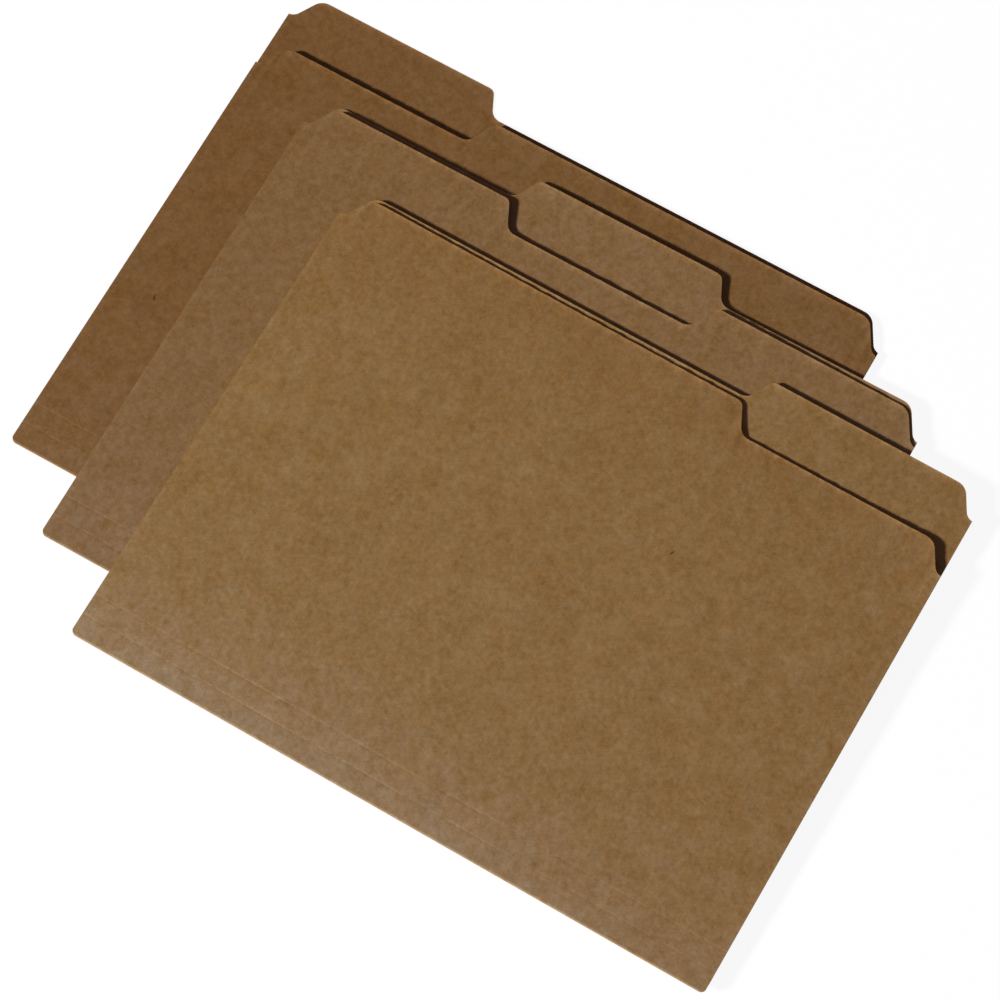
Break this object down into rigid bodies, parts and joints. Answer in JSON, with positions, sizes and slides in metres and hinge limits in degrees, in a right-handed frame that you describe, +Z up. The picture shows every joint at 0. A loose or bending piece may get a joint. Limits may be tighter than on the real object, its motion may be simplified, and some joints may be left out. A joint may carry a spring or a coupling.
{
  "type": "file folder set",
  "caption": "Fanned stack of scored kraft file folders with staggered top tabs; the top cover swings open at its fold and the scored gussets below it expand.",
  "frame": {"origin": "centre of the set's footprint, on the surface it lies on", "axes": "+X along the folds towards the right tab, +Y from the folds towards the tabs, +Z up out of the table"},
  "size_m": [0.368, 0.3044, 0.0096],
  "materials": {
    "bottom_kraft": "uncoated natural kraft board, matte, with visible fibres and flecks",
    "middle_kraft": "uncoated natural kraft board, matte, with visible fibres and flecks",
    "top_kraft": "uncoated natural kraft board, matte, with visible fibres and flecks"
  },
  "bodies": {
    "bottom_back": {"bottom_back_panel": "bottom_kraft", "bottom_fold_spine": "bottom_kraft"},
    "bottom_gusset": {"bottom_lower_gusset": "bottom_kraft", "bottom_upper_gusset": "bottom_kraft"},
    "bottom_front": {"bottom_front_panel": "bottom_kraft"},
    "middle_back": {"middle_back_panel": "middle_kraft", "middle_fold_spine": "middle_kraft"},
    "middle_gusset": {"middle_lower_gusset": "middle_kraft", "middle_upper_gusset": "middle_kraft"},
    "middle_front": {"middle_front_panel": "middle_kraft"},
    "top_back": {"top_back_panel": "top_kraft", "top_fold_spine": "top_kraft"},
    "top_cover": {"top_lower_gusset": "top_kraft", "top_upper_gusset": "top_kraft", "top_front_panel": "top_kraft"}
  },
  "joints": [
    {"name": "bottom_expand", "type": "slide", "parent": "bottom_back", "child": "bottom_front", "axis": [0, -0.1426, 0.9898], "range_m": [0, 0.00528]},
    {"name": "bottom_gusset_tilt", "type": "hinge", "parent": "bottom_back", "child": "bottom_gusset", "pos_m": [-0.03483, -0.08909, 0.00155], "axis": [1, 0, 0], "range_deg": [0, 16]},
    {"name": "middle_slide", "type": "slide", "parent": "bottom_front", "child": "middle_back", "axis": [0.7529, -0.6582, -0.0023], "range_m": [-0.0444, 0.08]},
    {"name": "middle_expand", "type": "slide", "parent": "middle_back", "child": "middle_front", "axis": [0, -0.1504, 0.9886], "range_m": [0, 0.00528]},
    {"name": "middle_gusset_tilt", "type": "hinge", "parent": "middle_back", "child": "middle_gusset", "pos_m": [-0.00143, -0.1183, 0.00345], "axis": [1, 0, 0], "range_deg": [0, 16]},
    {"name": "top_slide", "type": "slide", "parent": "middle_front", "child": "top_back", "axis": [0.724, -0.6898, -0.0078], "range_m": [-0.0468, 0.08]},
    {"name": "top_open", "type": "hinge", "parent": "top_back", "child": "top_cover", "pos_m": [0.03247, -0.15063, 0.00508], "axis": [1, -0.0098, -0.0001], "range_deg": [0, 179]}
  ],
  "couplings": [
    {"joint": "bottom_gusset_tilt", "follows": "bottom_expand", "rad_per_m": 52.8},
    {"joint": "middle_gusset_tilt", "follows": "middle_expand", "rad_per_m": 52.8}
  ]
}
